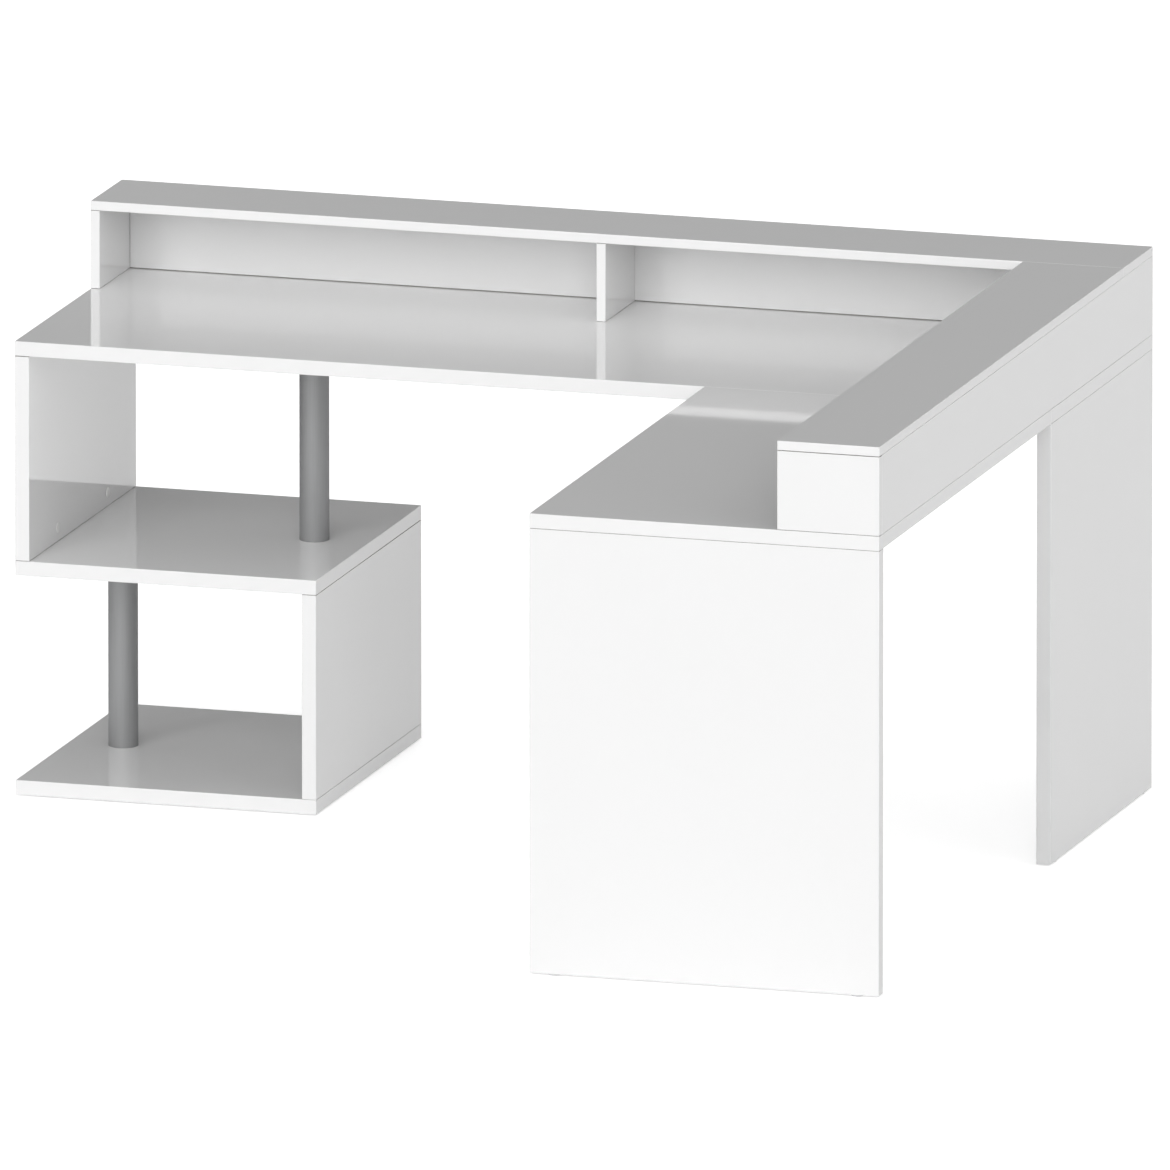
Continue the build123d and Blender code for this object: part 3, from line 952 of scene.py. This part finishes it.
def post_bolt_mesh(length, depth):
    """A hexagon bolt from its head's underside, Z 0, up to its threaded end."""
    head = 7.0 * MM
    rise = 5.3 * MM
    thread_start = length - 14.0 * MM
    flat = head * math.cos(math.pi / 6.0)
    cut_thread = helix(POST_THREAD, thread_start, length, POST_PITCH, depth)

    def warp(reach, height, angle):
        if abs(reach - head) < SAME:
            return flat / math.cos(angle % (math.pi / 3.0) - math.pi / 6.0)
        return cut_thread(reach, height, angle)

    profile = [(0.0, 0.0), (flat * 0.97, 0.0), (head, 0.7 * MM), (head, rise), (POST_THREAD, rise)]
    profile += thread_rows(POST_THREAD, thread_start, length - 0.6 * MM, POST_PITCH)
    profile += [(POST_THREAD - 0.7 * MM, length), (0.0, length)]
    return mesh_of(turned(profile, SCREW_SIDES, warp=warp), "Post bolt")


def stud_mesh(length, depth):
    """A stud that is threaded from end to end."""
    end = POST_THREAD - 0.7 * MM
    profile = [(0.0, 0.0), (end, 0.0)]
    profile += thread_rows(POST_THREAD, 0.5 * MM, length - 0.5 * MM, POST_PITCH)
    profile += [(end, length), (0.0, length)]
    warp = helix(POST_THREAD, 0.2 * MM, length - 0.2 * MM, POST_PITCH, depth)
    return mesh_of(turned(profile, SCREW_SIDES, warp=warp), "Stud")


def insert_mesh(length, depth):
    """A bored insert with a coarse outer thread and a flange at its foot."""
    crest = INSERT_RADIUS - 0.1 * MM
    pitch = 2.5 * MM
    profile = [(POST_BORE, 0.0), (INSERT_RADIUS, 0.0), (INSERT_RADIUS, 0.8 * MM)]
    profile += thread_rows(crest, 1.2 * MM, length - 0.8 * MM, pitch)
    profile += [(INSERT_RADIUS - 1.0 * MM, length), (POST_BORE, length)]
    warp = helix(crest, 1.0 * MM, length - 0.6 * MM, pitch, depth * 1.8)
    return mesh_of(turned(profile, INSERT_SIDES, closed=True, warp=warp), "Insert")


def plug_mesh(length):
    """A moulded cup that closes a tube's end, with its bored floor at Z 0, a rim and two grip rings."""
    floor = 6.0 * MM
    fillet = 0.6 * MM
    inner = PLUG_RADIUS - 3.0 * MM
    waist = PLUG_RADIUS - 0.5 * MM
    profile = [(POST_BORE, 0.0), (PLUG_RADIUS - 0.4 * MM, 0.0), (PLUG_RADIUS, 0.4 * MM),
               (PLUG_RADIUS, 5.0 * MM)]
    for ring in (10.0 * MM, 17.0 * MM):
        profile += [(waist, ring - 4.4 * MM), (waist, ring - fillet), (PLUG_RADIUS, ring),
                    (PLUG_RADIUS, ring + 2.0 * MM)]
    profile += [(waist - 0.5 * MM, length), (inner, length), (inner, floor + fillet),
                (inner - fillet, floor), (POST_BORE, floor)]
    return mesh_of(turned(profile, PLUG_SIDES, closed=True), "End plug")


def plug_place(box):
    """A plug's place, with its floor at the tube's end."""
    at_foot = any(abs(box[0].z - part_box(node)[0].z) < PAST for node in POSTS)
    end = box[0].z if at_foot else box[1].z
    return Vector((*middle(box).xy, end)), turn_to(UP if at_foot else -UP)


class DESK_OT_post_fittings(bpy.types.Operator):
    """Place the plugs, bolts, studs and inserts at the ends of the posts"""

    bl_idname = "corner_desk.post_fittings"
    bl_label = "Post fittings"

    def execute(self, context):
        depth = context.scene.corner_desk.fittings.thread_depth
        steel = zinc_plate()
        for node, name, make in (
            ("post_bolts", "post_hex_bolts", post_bolt_mesh),
            ("post_studs", "post_threaded_studs", stud_mesh),
            ("post_inserts", "post_threaded_inserts", insert_mesh),
        ):
            boxes = solids(node)
            place_fittings(node, name, make(height_of(boxes[0]), depth), upright(boxes), steel)
        boxes = solids("post_end_plugs")
        places = [plug_place(box) for box in boxes]
        plug = plug_mesh(height_of(boxes[0]))
        place_fittings("post_end_plugs", "post_plugs", plug, places, grey_plastic())
        return {"FINISHED"}


# Fittings of the boards

def cross_recess(size, depth):
    """A cutter for a cross recess in a face at Z 0, opening upwards."""
    shape = bmesh.new()
    arm = size / 5.0
    add_block(shape, (-size / 2.0, -arm / 2.0, -depth), (size / 2.0, arm / 2.0, depth))
    add_block(shape, (-arm / 2.0, -size / 2.0, -depth), (arm / 2.0, size / 2.0, depth))
    return mesh_of(shape, "Cross")


def cam_lock_mesh(length):
    """A cam drum from the face, Z 0, inwards to -length, with its hollow, rim slot and cross recess."""
    ease = 0.5 * MM
    drum = mesh_of(turned(
        [(0.0, -length), (CAM_RADIUS - ease, -length), (CAM_RADIUS, ease - length), (CAM_RADIUS, -ease),
         (CAM_RADIUS - ease, 0.0), (0.0, 0.0)], ROUND_SIDES), "Cam drum")
    bolt_depth = length - 5.0 * MM
    head = 3.9 * MM
    neck = 2.4 * MM
    hollow = CAM_RADIUS / math.sqrt(2.0) - 0.4 * MM
    past = 2.0 * CAM_RADIUS
    cutters = bmesh.new()
    add_block(cutters, (-head, -hollow, -bolt_depth - head), (hollow, head, head - bolt_depth))
    add_block(cutters, (-neck, -past, -bolt_depth - neck), (past, neck, neck - bolt_depth))
    add_block(cutters, (-head, -past, -bolt_depth - head), (head, 0.0, head - bolt_depth))
    cutters.from_mesh(cross_recess(7.0 * MM, 2.0 * MM))
    return cut(drum, mesh_of(cutters, "Cam hollows"))


def cam_bolt_mesh(length, depth):
    """A cam bolt from its thread's end, Z 0: thread, collar, neck and rounded head."""
    pitch = 1.6 * MM
    neck = 1.8 * MM
    head = 3.3 * MM
    neck_start = CAM_BOLT_GRIP + 15.9 * MM
    head_start = length - 4.0 * MM
    profile = [(0.0, 0.0), (CAM_BOLT_RADIUS - depth, 0.0)]
    profile += thread_rows(CAM_BOLT_RADIUS, 0.4 * MM, CAM_BOLT_GRIP, pitch)
    profile += [(CAM_BOLT_RADIUS, neck_start), (neck, neck_start + 0.8 * MM), (neck, head_start),
                (head - 0.6 * MM, head_start), (head, head_start + 0.8 * MM),
                (head, length - 1.2 * MM), (head - 1.0 * MM, length), (0.0, length)]
    warp = helix(CAM_BOLT_RADIUS, 0.2 * MM, CAM_BOLT_GRIP, pitch, depth)
    return mesh_of(turned(profile, SCREW_SIDES, warp=warp), "Cam bolt")


def cover_cap_mesh(thickness):
    """A low domed cap on the face, Z 0."""
    radius = 8.9 * MM
    profile = [(0.0, 0.0), (radius - 0.2 * MM, 0.0), (radius, 0.3 * MM), (radius - 0.1 * MM, 0.7 * MM),
               (radius - 0.6 * MM, 1.0 * MM), (radius * 0.55, thickness), (0.0, thickness)]
    return mesh_of(turned(profile, ROUND_SIDES), "Cover cap")


class DESK_OT_cams(bpy.types.Operator):
    """Place the cam drums, their bolts and their cover caps"""

    bl_idname = "corner_desk.cams"
    bl_label = "Cam fittings"

    def execute(self, context):
        settings = context.scene.corner_desk.fittings
        steel = zinc_plate()
        white = white_plastic()
        for group in CAM_GROUPS:
            cams = cam_places(group)
            drum = cam_lock_mesh(cams[0].length)
            places = [(cam.face, turn_to(cam.outward, -cam.inward)) for cam in cams]
            place_fittings(group + "_cam_locks", group + "_cam_drums", drum, places, steel)
            bolt_length = extent(solids(group + "_cam_bolts")[0], max)
            bolt = cam_bolt_mesh(bolt_length, settings.thread_depth)
            places = [(cam.foot, turn_to(cam.inward)) for cam in cams]
            place_fittings(group + "_cam_bolts", group + "_cam_bolt_set", bolt, places, steel,
                           settings.spin, settings.seed)
            cap = cover_cap_mesh(extent(solids(group + "_cam_caps")[0], min))
            places = [(cam.face, turn_to(cam.outward)) for cam in cams]
            place_fittings(group + "_cam_caps", group + "_cover_caps", cap, places, white)
        return {"FINISHED"}


def dowel_mesh(length, flutes):
    """A dowel about its middle, Z 0, with glue flutes and eased ends."""
    groove = 0.35 * MM
    ease = 1.2 * MM
    half = length / 2.0
    end = DOWEL_RADIUS - ease * 0.8

    def fluted(reach, height, angle):
        if abs(height) > half - ease - SAME:
            return reach
        return reach - groove * (0.5 - 0.5 * math.cos(flutes * angle)) ** 2

    rows = [(DOWEL_RADIUS, (half - ease) * step / 2.0) for step in (-2, -1, 0, 1, 2)]
    profile = [(0.0, -half), (end, -half), *rows, (end, half), (0.0, half)]
    return mesh_of(turned(profile, flutes * 4, warp=fluted), "Dowel")


class DESK_OT_dowels(bpy.types.Operator):
    """Place the fluted dowels"""

    bl_idname = "corner_desk.dowels"
    bl_label = "Dowels"

    def execute(self, context):
        settings = context.scene.corner_desk.fittings
        beech = beech_wood()
        for node in DOWELS:
            boxes = solids(node)
            pattern = dowel_mesh(extent(boxes[0], max), settings.flutes)
            places = [(middle(box), turn_to(axis_of(box, max))) for box in boxes]
            place_fittings(node, node + "_fluted", pattern, places, beech, settings.spin, settings.seed)
        return {"FINISHED"}


def plate_mesh(box):
    """A steel plate with rounded corners and four drilled holes, its underside at Z 0."""
    width, length, thickness = box[1] - box[0]
    corner = 8.0 * MM
    ease = 0.3 * MM
    steps = 32
    outline = []
    for step in range(steps):
        angle = 2.0 * math.pi * (step + 0.5) / steps
        x = math.copysign(width / 2.0 - corner, math.cos(angle)) + corner * math.cos(angle)
        y = math.copysign(length / 2.0 - corner, math.sin(angle)) + corner * math.sin(angle)
        outline.append((x, y))
    shape = bmesh.new()
    rows = []
    for inset, height in ((ease, 0.0), (0.0, ease), (0.0, thickness - ease), (ease, thickness)):
        scale = (1.0 - 2.0 * inset / width, 1.0 - 2.0 * inset / length)
        rows.append([shape.verts.new((x * scale[0], y * scale[1], height)) for x, y in outline])
    for below, above in zip(rows, rows[1:]):
        for step in range(steps):
            after = (step + 1) % steps
            shape.faces.new((below[step], below[after], above[after], above[step]))
    shape.faces.new(rows[0])
    shape.faces.new(rows[-1])
    cutters = bmesh.new()
    for along in PLATE_HOLES_ALONG:
        drill = turned(drilled(PLATE_HOLE, -PAST, thickness + PAST), SCREW_SIDES)
        drill.transform(Matrix.Translation((0.0, along, 0.0)))
        mesh = mesh_of(drill, "Drill")
        cutters.from_mesh(mesh)
        bpy.data.meshes.remove(mesh)
    return cut(mesh_of(shape, "Plate"), mesh_of(cutters, "Drills"))


def plate_screw_mesh(length, depth):
    """A pan-head screw with its head below, a cross recess in it, a thread and a point."""
    head = 4.0 * MM
    rise = 2.4 * MM
    pitch = 1.5 * MM
    tip = length - 3.0 * MM
    profile = [(0.0, 0.0), (head * 0.55, 0.0), (head * 0.85, 0.5 * MM), (head, 1.4 * MM), (head, rise),
               (PLATE_SCREW_RADIUS, rise)]
    profile += thread_rows(PLATE_SCREW_RADIUS, rise + 2.0 * MM, tip, pitch)
    profile += [(0.0, length)]
    warp = helix(PLATE_SCREW_RADIUS, rise + 1.8 * MM, tip + 0.2 * MM, pitch, depth)
    screw = mesh_of(turned(profile, SCREW_SIDES, warp=warp), "Plate screw")
    return cut(screw, cross_recess(4.0 * MM, 1.3 * MM))


class DESK_OT_joining_plates(bpy.types.Operator):
    """Place the plates under the worktops' seam, and their screws"""

    bl_idname = "corner_desk.joining_plates"
    bl_label = "Joining plates"

    def execute(self, context):
        settings = context.scene.corner_desk.fittings
        steel = zinc_plate()
        boxes = solids("joining_plates")
        place_fittings("joining_plates", "joining_plate_pair", plate_mesh(boxes[0]), upright(boxes), steel)
        boxes = solids("joining_plate_screws")
        screw = plate_screw_mesh(height_of(boxes[0]), settings.thread_depth)
        place_fittings("joining_plate_screws", "joining_plate_screw_set", screw, upright(boxes), steel,
                       settings.spin, settings.seed)
        return {"FINISHED"}


def glide_mesh(box):
    """A floor glide with a rounded rim and a dished underside, which stands on Z 0."""
    radius = (box[1].x - box[0].x) / 2.0
    height = height_of(box)
    dish = 3.5 * MM
    dish_depth = 0.8 * MM
    profile = [(0.0, dish_depth), (dish, dish_depth), (dish + 0.6 * MM, 0.0), (radius - 1.6 * MM, 0.0),
               (radius - 0.7 * MM, 0.3 * MM), (radius - 0.2 * MM, 0.9 * MM), (radius, 1.7 * MM),
               (radius, height - 0.2 * MM), (radius - 0.2 * MM, height), (0.0, height)]
    return mesh_of(turned(profile, ROUND_SIDES), "Glide")


class DESK_OT_glides(bpy.types.Operator):
    """Place the floor glides"""

    bl_idname = "corner_desk.glides"
    bl_label = "Floor glides"

    def execute(self, context):
        grey = grey_plastic()
        for node in GLIDES:
            boxes = solids(node)
            place_fittings(node, node + "_pads", glide_mesh(boxes[0]), upright(boxes), grey)
        return {"FINISHED"}


# Stage

def direction(azimuth, elevation):
    """Unit vector from the desk towards a lamp or the camera."""
    flat = math.cos(elevation)
    return Vector((math.sin(azimuth) * flat, -math.cos(azimuth) * flat, math.sin(elevation)))


def look_back(made, towards):
    """Turns a camera or lamp that stands in a direction to face the desk."""
    made.rotation_mode = "QUATERNION"
    made.rotation_quaternion = (-towards).to_track_quat("-Z", "Y")


def make_camera(scene, settings):
    """A camera so far away, with so long a lens, that parallel edges stay parallel."""
    camera = new_object("Camera", bpy.data.cameras.new("Camera"))
    scene.camera = camera
    camera.data.sensor_width = 36.0
    camera.data.lens = settings.lens
    back = direction(settings.azimuth, settings.elevation)
    right = Vector((math.cos(settings.azimuth), math.sin(settings.azimuth), 0.0))
    up = back.cross(right)
    distance = settings.frame_width * settings.lens / camera.data.sensor_width
    camera.location = right * settings.aim_right + up * settings.aim_up + back * distance
    look_back(camera, back)
    camera.data.clip_start = 1.0
    camera.data.clip_end = distance * 4.0


def make_lamp(name, azimuth, elevation, spread, level):
    """A far, wide lamp, its angles in degrees; a level of 1 makes a white face turned to it white."""
    lamp = new_object(name, bpy.data.lights.new(name, "SUN"))
    lamp.data.energy = level * math.pi
    lamp.data.angle = math.radians(spread)
    look_back(lamp, direction(math.radians(azimuth), math.radians(elevation)))
    return lamp


def seen_rays(tree):
    """1 for camera, glossy and transmission rays, which show the backdrop."""
    path = add_node(tree, "ShaderNodeLightPath").outputs
    either = math_node(tree, "MAXIMUM", path["Is Camera Ray"], path["Is Glossy Ray"])
    return math_node(tree, "MAXIMUM", either, path["Is Transmission Ray"])


def make_sky(scene, settings):
    """A sky that brightens towards the zenith, over a white backdrop that ends just above the horizon."""
    world = bpy.data.worlds.new("Studio sky")
    scene.world = world
    world.use_nodes = True
    tree = world.node_tree
    tree.nodes.clear()
    place = add_node(tree, "ShaderNodeTexCoord")
    split = add_node(tree, "ShaderNodeSeparateXYZ", {"Vector": place.outputs["Generated"]})
    height = math_node(tree, "MAXIMUM", split.outputs["Z"], 0.0)
    sky = math_node(tree, "MULTIPLY", math_node(tree, "POWER", height, 2.0), settings.zenith)
    fade = math_node(tree, "MULTIPLY_ADD", split.outputs["Z"], -1.0 / BACKDROP_FADE,
                     BACKDROP_TOP / BACKDROP_FADE, clamp=True)
    backdrop = math_node(tree, "MULTIPLY", fade, seen_rays(tree))
    background = add_node(tree, "ShaderNodeBackground", {
        "Color": (1.0, 1.0, 1.0, 1.0), "Strength": math_node(tree, "ADD", sky, backdrop)})
    add_node(tree, "ShaderNodeOutputWorld", {"Surface": background.outputs["Background"]})


def make_floor(settings):
    """A wide white floor that takes the desk's shadow."""
    mesh = bpy.data.meshes.new("Floor")
    corners = [(FLOOR_REACH * x, FLOOR_REACH * y, 0.0) for x, y in ((-1, -1), (1, -1), (1, 1), (-1, 1))]
    mesh.from_pydata(corners, [], [(0, 1, 2, 3)])
    floor = new_object("Floor", mesh)
    material = empty_material("White floor")
    tree = material.node_tree
    matt = add_node(tree, "ShaderNodeBsdfDiffuse", {"Color": FLOOR_WHITE})
    glow = add_node(tree, "ShaderNodeEmission", {
        "Strength": math_node(tree, "MULTIPLY", seen_rays(tree), settings.backdrop)})
    both = add_node(tree, "ShaderNodeAddShader", {0: matt.outputs["BSDF"], 1: glow.outputs["Emission"]})
    add_node(tree, "ShaderNodeOutputMaterial", {"Surface": both.outputs["Shader"]})
    mesh.materials.append(material)


class DESK_OT_stage(bpy.types.Operator):
    """Set the camera, the lamps, the sky and the white floor"""

    bl_idname = "corner_desk.stage"
    bl_label = "Stage"

    def execute(self, context):
        settings = context.scene.corner_desk.stage
        context.scene.view_settings.view_transform = "Standard"
        make_camera(context.scene, settings)
        make_lamp("Key lamp", azimuth=0.0, elevation=14.0, spread=60.0, level=settings.key)
        side = make_lamp("Side lamp", azimuth=65.0, elevation=28.0, spread=50.0, level=settings.side)
        fill = make_lamp("Back fill lamp", azimuth=200.0, elevation=4.0, spread=12.0, level=settings.fill)
        for lamp in (side, fill):
            lamp.visible_glossy = False
        make_sky(context.scene, settings)
        make_floor(settings)
        return {"FINISHED"}


# Panel and registration

STEPS = (
    DESK_OT_worktops, DESK_OT_tower, DESK_OT_legs, DESK_OT_riser, DESK_OT_back_sheet, DESK_OT_posts,
    DESK_OT_post_fittings, DESK_OT_cams, DESK_OT_dowels, DESK_OT_joining_plates, DESK_OT_glides,
    DESK_OT_stage,
)


class DESK_PT_panel(bpy.types.Panel):
    """Lists the steps that dress the desk"""

    bl_idname = "DESK_PT_panel"
    bl_label = "Corner Desk"
    bl_space_type = "VIEW_3D"
    bl_region_type = "UI"
    bl_category = "Corner Desk"

    def draw(self, context):
        for step in STEPS:
            self.layout.operator(step.bl_idname)


CLASSES = (
    LacquerSettings, PostSettings, FittingSettings, StageSettings, DeskSettings, *STEPS, DESK_PT_panel,
)


def register():
    for item in CLASSES:
        bpy.utils.register_class(item)
    bpy.types.Scene.corner_desk = PointerProperty(
        type=DeskSettings, name="Corner desk", description="Settings of the corner desk")


def unregister():
    del bpy.types.Scene.corner_desk
    for item in reversed(CLASSES):
        bpy.utils.unregister_class(item)


def main():
    register()
    bpy.ops.corner_desk.worktops()
    bpy.ops.corner_desk.tower()
    bpy.ops.corner_desk.legs()
    bpy.ops.corner_desk.riser()
    bpy.ops.corner_desk.back_sheet()
    bpy.ops.corner_desk.posts()
    bpy.ops.corner_desk.post_fittings()
    bpy.ops.corner_desk.cams()
    bpy.ops.corner_desk.dowels()
    bpy.ops.corner_desk.joining_plates()
    bpy.ops.corner_desk.glides()
    bpy.ops.corner_desk.stage()


if __name__ == "__main__":
    main()
